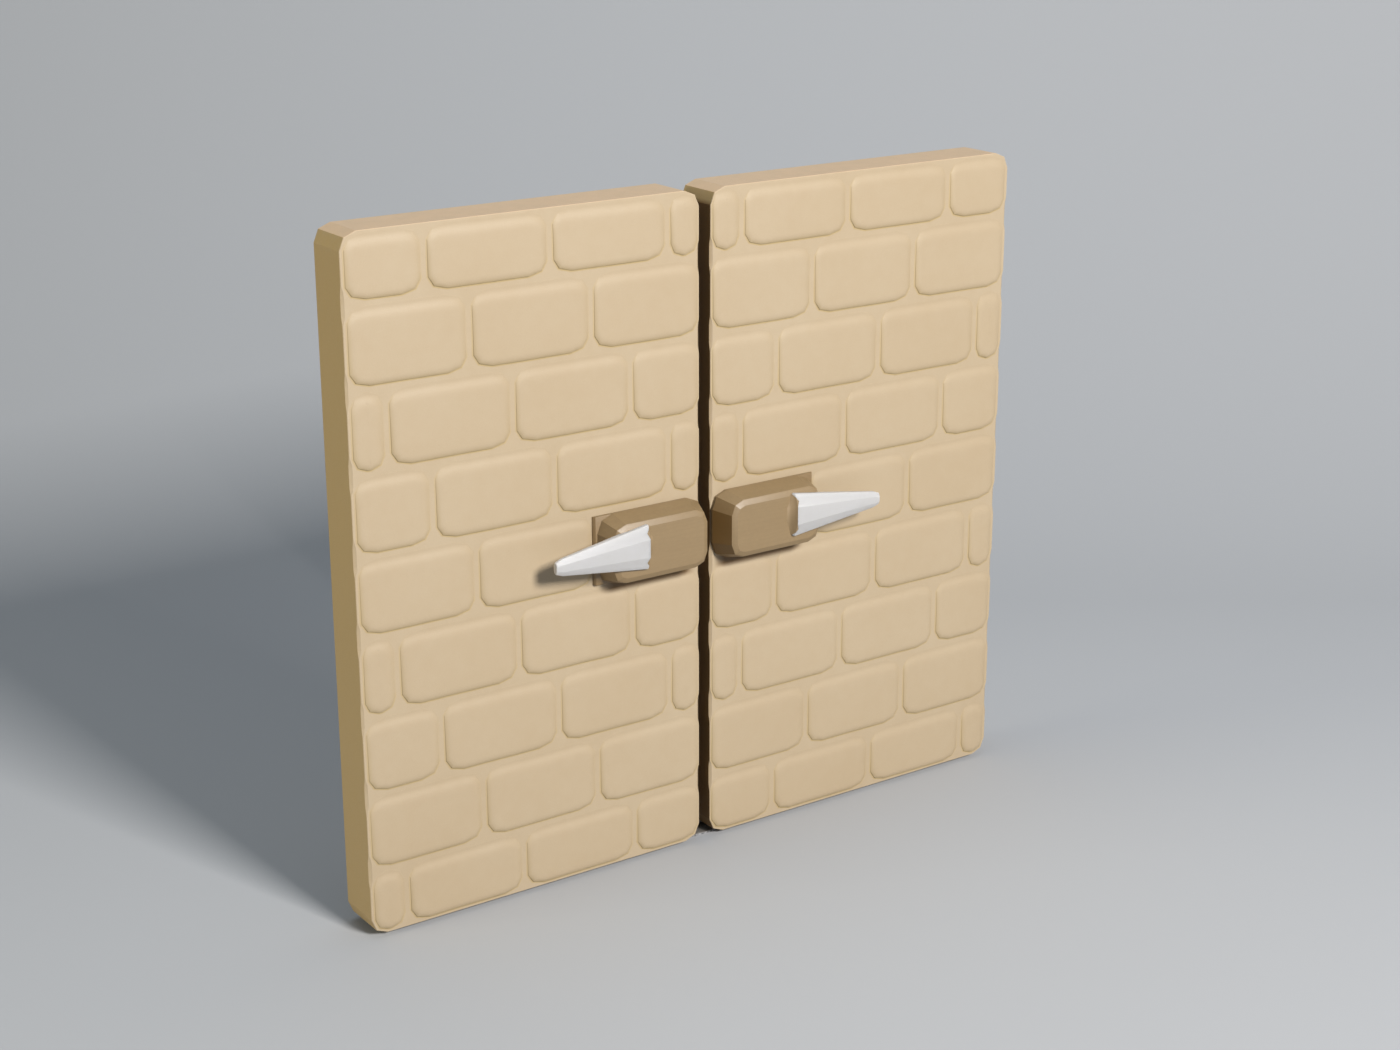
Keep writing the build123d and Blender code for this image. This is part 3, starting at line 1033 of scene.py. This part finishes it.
class STONE_DOOR_OT_finishes(bpy.types.Operator):
    """Make the shared node groups and the materials"""

    bl_idname = "stone_door.finishes"
    bl_label = "Make Finishes"

    def execute(self, context):
        scene = context.scene
        grain_group()
        mottle_group()
        wear_group()
        dust_group()
        stone_material(scene.stone_door_stone)
        wood_material(scene.stone_door_pulls)
        bone_material(scene.stone_door_pulls)
        paint_material(scene.stone_door_pivots)
        return {"FINISHED"}


class STONE_DOOR_OT_leaves(bpy.types.Operator):
    """Build the slab of each leaf"""

    bl_idname = "stone_door.leaves"
    bl_label = "Build Leaves"

    def execute(self, context):
        for side in SIDES:
            leaf_piece(side, context.scene.stone_door_relief, bpy.data.materials["Warm Stone"])
        return {"FINISHED"}


class STONE_DOOR_OT_blocks(bpy.types.Operator):
    """Build the raised blocks of every course, front and back"""

    bl_idname = "stone_door.blocks"
    bl_label = "Build Raised Blocks"

    def execute(self, context):
        settings = context.scene.stone_door_relief
        material = bpy.data.materials["Warm Stone"]
        for node in sorted(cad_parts):
            if "_course" not in node:
                continue
            side, face = node.split("_")[:2]
            course_piece(side, node, FACES[face], settings, material)
        return {"FINISHED"}


class STONE_DOOR_OT_pulls(bpy.types.Operator):
    """Build the pads, the wooden blocks and the tusks"""

    bl_idname = "stone_door.pulls"
    bl_label = "Build Pulls"

    def execute(self, context):
        wood = bpy.data.materials["Pull Wood"]
        bone = bpy.data.materials["Tusk Bone"]
        tusk_arris = context.scene.stone_door_pulls.tusk_arris
        for side, away in zip(SIDES, (-1, 1)):
            body = f"{side}_leaf"
            pad = eased_copy(
                f"{side}_pull_pad", f"{side}_pad_wood", wood, body, "pull_wood", PAD_ARRIS, bevel_angle=20
            )
            # Painted shade on the pad's sides.
            add_attribute(pad, "gap", [pad_shade(face.normal, away) for face in pad.data.polygons], "FACE")
            pull_block_piece(side, wood)
            eased_copy(
                f"{side}_tusk", f"{side}_tusk_bone", bone, body, "tusk_bone", tusk_arris,
                segments=3, bevel_angle=15, smooth_angle=50,
            )
        return {"FINISHED"}


class STONE_DOOR_OT_pivots(bpy.types.Operator):
    """Finish the threshold strip, pins, washers and shoes"""

    bl_idname = "stone_door.pivots"
    bl_label = "Finish Pivots"

    def execute(self, context):
        settings = context.scene.stone_door_pivots
        paint = bpy.data.materials["Threshold Paint"]
        strip = ("threshold_strip", "threshold_strip_painted")
        eased_copy(*strip, paint, "threshold", "threshold_steel", PLATE_ARRIS)
        for side in SIDES:
            low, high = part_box(f"{side}_pivot_pin")
            centre = ((low[0] + high[0]) / 2, (low[1] + high[1]) / 2, low[2])
            steel = turned_metal(f"Turned Steel {side}", settings.steel, centre, 0.34)
            bronze = turned_metal(f"Turned Bronze {side}", settings.bronze, centre, 0.38)
            leaf = f"{side}_leaf"
            for node, name, metal, body, slot, arris in (
                ("pivot_pin", "pin_steel", steel, "threshold", "pivot_steel", TURNED_ARRIS),
                ("thrust_washer", "washer_bronze", bronze, "threshold", "washer_bronze", TURNED_ARRIS),
                ("pivot_shoe", "shoe_steel", steel, leaf, "pivot_steel", PLATE_ARRIS),
            ):
                eased_copy(f"{side}_{node}", f"{side}_{name}", metal, body, slot, arris)
        return {"FINISHED"}


CAMERA_PLACE = (-3.8924, -5.6604, 3.2998)
CAMERA_TILT = math.radians(90 - 18.1583)
CAMERA_TURN = math.radians(-34.7656)
DOOR_MIDDLE = Vector((0.0, 0.0, 1.05))
KEY_PLACE = Vector((1.14, -13.08, 8.67))
KEY_TONE = (1.0, 0.975, 0.955)
SIDE_PLACE = Vector((-9.5, 1.2, 3.0))
SIDE_TONE = (1.0, 0.92, 0.70)
SIDE_SIZE = 4.0
TOP_PLACE = Vector((-0.5, 0.8, 9.5))
TOP_TONE = (0.74, 0.86, 1.0)
TOP_SIZE = 5.0
FILL_TONE = (0.69, 0.91, 1.22, 1.0)


def sweep_piece(settings):
    """Floor that curves up into a backdrop behind the door, square to the camera."""
    turn = Vector((math.cos(CAMERA_TURN), math.sin(CAMERA_TURN)))
    away = Vector((-turn.y, turn.x))
    half_width = 22.0
    near = -16.0
    bend = 2.2
    radius = 4.8
    height = 12.0
    line = [(near, 0.0), (bend, 0.0)]
    for step in range(1, settings.sweep_segments + 1):
        angle = 0.5 * math.pi * step / settings.sweep_segments
        line.append((bend + radius * math.sin(angle), radius * (1 - math.cos(angle))))
    line.append((bend + radius, height))
    vertices = []
    for distance, z in line:
        for side in (-half_width, half_width):
            spot = side * turn + distance * away
            vertices.append((spot.x, spot.y, z))
    faces = [(2 * i, 2 * i + 1, 2 * i + 3, 2 * i + 2) for i in range(len(line) - 1)]
    shader = start_material("Studio Sweep")[1]
    shader.inputs["Base Color"].default_value = colour(settings.backdrop)
    shader.inputs["Roughness"].default_value = 0.9
    shader.inputs["Specular IOR Level"].default_value = 0.1
    object_from("studio_sweep", vertices, faces, bpy.data.materials["Studio Sweep"], 60)


def soft_lamp(name, place, power, size, tone):
    """Square area lamp aimed at the middle of the door."""
    lamp = bpy.data.lights.new(name, "AREA")
    lamp.color = tone
    lamp.energy = power
    lamp.size = size
    holder = bpy.data.objects.new(name, lamp)
    holder.location = place
    holder.rotation_euler = (place - DOOR_MIDDLE).to_track_quat("Z", "Y").to_euler()
    bpy.context.scene.collection.objects.link(holder)


class STONE_DOOR_OT_studio(bpy.types.Operator):
    """Set up the sweep, the lamps, the surroundings and the camera"""

    bl_idname = "stone_door.studio"
    bl_label = "Set Up Studio"

    def execute(self, context):
        scene = context.scene
        settings = scene.stone_door_studio
        sweep_piece(settings)
        soft_lamp("key", KEY_PLACE, settings.key_power, settings.key_size, KEY_TONE)
        soft_lamp("side", SIDE_PLACE, settings.side_power, SIDE_SIZE, SIDE_TONE)
        soft_lamp("top", TOP_PLACE, settings.top_power, TOP_SIZE, TOP_TONE)
        scene.world = bpy.data.worlds.new("Studio")
        scene.world.use_nodes = True
        background = scene.world.node_tree.nodes["Background"]
        background.inputs["Color"].default_value = FILL_TONE
        background.inputs["Strength"].default_value = settings.fill
        view = bpy.data.cameras.new("camera")
        view.lens = settings.lens
        view.sensor_width = 36.0
        camera = bpy.data.objects.new("camera", view)
        camera.location = CAMERA_PLACE
        camera.rotation_euler = (CAMERA_TILT, 0.0, CAMERA_TURN)
        scene.collection.objects.link(camera)
        scene.camera = camera
        scene.view_settings.view_transform = "Standard"
        return {"FINISHED"}


class STONE_DOOR_PT_panel(bpy.types.Panel):
    bl_idname = "STONE_DOOR_PT_panel"
    bl_label = "Stone Double Door"
    bl_space_type = "VIEW_3D"
    bl_region_type = "UI"
    bl_category = "Stone Door"

    def draw(self, context):
        for label, (name, group, operators) in SECTIONS.items():
            box = self.layout.box()
            box.label(text=label)
            settings = getattr(context.scene, name)
            for field in group.__annotations__:
                box.prop(settings, field)
            for operator in operators:
                box.operator(operator.bl_idname)


# Each section of the panel: where the scene keeps its settings, their class, and its operators
SECTIONS = {
    "Relief": ("stone_door_relief", StoneDoorRelief, (STONE_DOOR_OT_leaves, STONE_DOOR_OT_blocks)),
    "Stone": ("stone_door_stone", StoneDoorStone, (STONE_DOOR_OT_finishes,)),
    "Pulls": ("stone_door_pulls", StoneDoorPulls, (STONE_DOOR_OT_pulls,)),
    "Pivots": ("stone_door_pivots", StoneDoorPivots, (STONE_DOOR_OT_pivots,)),
    "Studio": ("stone_door_studio", StoneDoorStudio, (STONE_DOOR_OT_studio,)),
}


def register():
    for name, group, operators in SECTIONS.values():
        bpy.utils.register_class(group)
        setattr(bpy.types.Scene, name, PointerProperty(type=group))
        for operator in operators:
            bpy.utils.register_class(operator)
    bpy.utils.register_class(STONE_DOOR_PT_panel)


def unregister():
    bpy.utils.unregister_class(STONE_DOOR_PT_panel)
    for name, group, operators in SECTIONS.values():
        for operator in operators:
            bpy.utils.unregister_class(operator)
        delattr(bpy.types.Scene, name)
        bpy.utils.unregister_class(group)


def main():
    register()
    bpy.ops.stone_door.finishes()
    bpy.ops.stone_door.leaves()
    bpy.ops.stone_door.blocks()
    bpy.ops.stone_door.pulls()
    bpy.ops.stone_door.pivots()
    bpy.ops.stone_door.studio()


if __name__ == "__main__":
    main()
